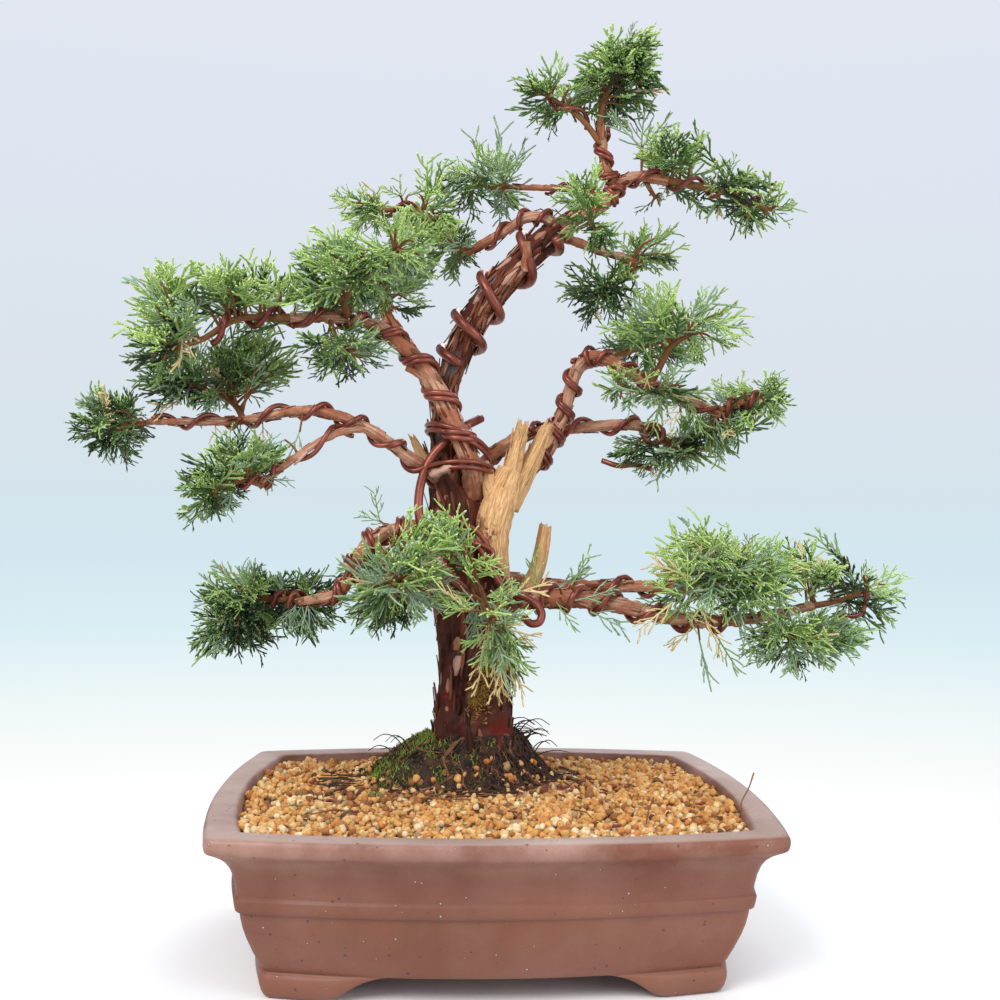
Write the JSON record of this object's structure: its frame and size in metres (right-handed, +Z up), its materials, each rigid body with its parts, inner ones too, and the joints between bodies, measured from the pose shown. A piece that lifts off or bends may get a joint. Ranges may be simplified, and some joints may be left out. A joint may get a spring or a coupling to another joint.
{
  "type": "kishu juniper bonsai in a pot",
  "caption": "Wired juniper bonsai with a tapering trunk, split deadwood, spreading boughs and pads of green foliage, in a rectangular unglazed clay pot filled with grit.",
  "frame": {"origin": "under the middle of the bounding box, on the ground that the pot's feet stand on", "axes": "+Z up, +X along the pot's long side to the right of the front view, +Y to the back"},
  "size_m": [0.6222, 0.376, 0.683],
  "materials": {
    "clay": "unglazed brown-mauve stoneware with fine pale specks and a whitish bloom",
    "grit": "loose dry ochre, tan and grey grains",
    "moss_and_roots": "dark fibrous roots with green moss",
    "bark": "flaky dark red-brown bark, peeling tan-pink higher up",
    "bough_bark": "thin red-brown bark that peels in strips",
    "deadwood": "bare straw-coloured split wood with open grain",
    "wire": "satin dark copper-brown anodised wire",
    "foliage": "matt scale leaves, yellow-green at the tips"
  },
  "bodies": {
    "root": {"pot": "clay", "grit": "grit", "root_mound": "moss_and_roots", "trunk": "bark", "leader": "bough_bark", "bough_upper_left": "bough_bark", "bough_left_far": "bough_bark", "bough_mid_left": "bough_bark", "bough_left_drop": "bough_bark", "bough_low_left": "bough_bark", "bough_mid_right": "bough_bark", "bough_right_rise": "bough_bark", "bough_right_arch": "bough_bark", "bough_low_right": "bough_bark", "bough_low_right_back": "bough_bark", "bough_top_left": "bough_bark", "bough_top_left_thin": "bough_bark", "bough_top_right": "bough_bark", "bough_top_drop": "bough_bark", "bough_back_upper": "bough_bark", "bough_back_low": "bough_bark", "bough_back_right": "bough_bark", "deadwood_split": "deadwood", "deadwood_side_stub": "deadwood", "deadwood_left_stub": "deadwood", "wire_trunk": "wire", "wire_upper_left": "wire", "wire_mid_left": "wire", "wire_mid_right": "wire", "wire_right_rise": "wire", "wire_low_right": "wire", "foliage_apex": "foliage", "foliage_apex_left": "foliage", "foliage_top_right": "foliage", "foliage_top_right_low": "foliage", "foliage_top_centre": "foliage", "foliage_upper_left": "foliage", "foliage_upper_left_inner": "foliage", "foliage_under_top": "foliage", "foliage_mid_right_upper": "foliage", "foliage_mid_right_inner": "foliage", "foliage_mid_right_far": "foliage", "foliage_mid_right_low": "foliage", "foliage_left_big": "foliage", "foliage_left_centre": "foliage", "foliage_left_centre_low": "foliage", "foliage_left_under": "foliage", "foliage_left_tip": "foliage", "foliage_left_low": "foliage", "foliage_low_left": "foliage", "foliage_low_centre": "foliage", "foliage_front": "foliage", "foliage_low_right": "foliage", "foliage_low_right_tip": "foliage", "foliage_low_right_under": "foliage", "foliage_back_upper": "foliage", "foliage_back_low": "foliage", "foliage_back_right": "foliage", "foliage_back_low_right": "foliage"}
  },
  "joints": []
}
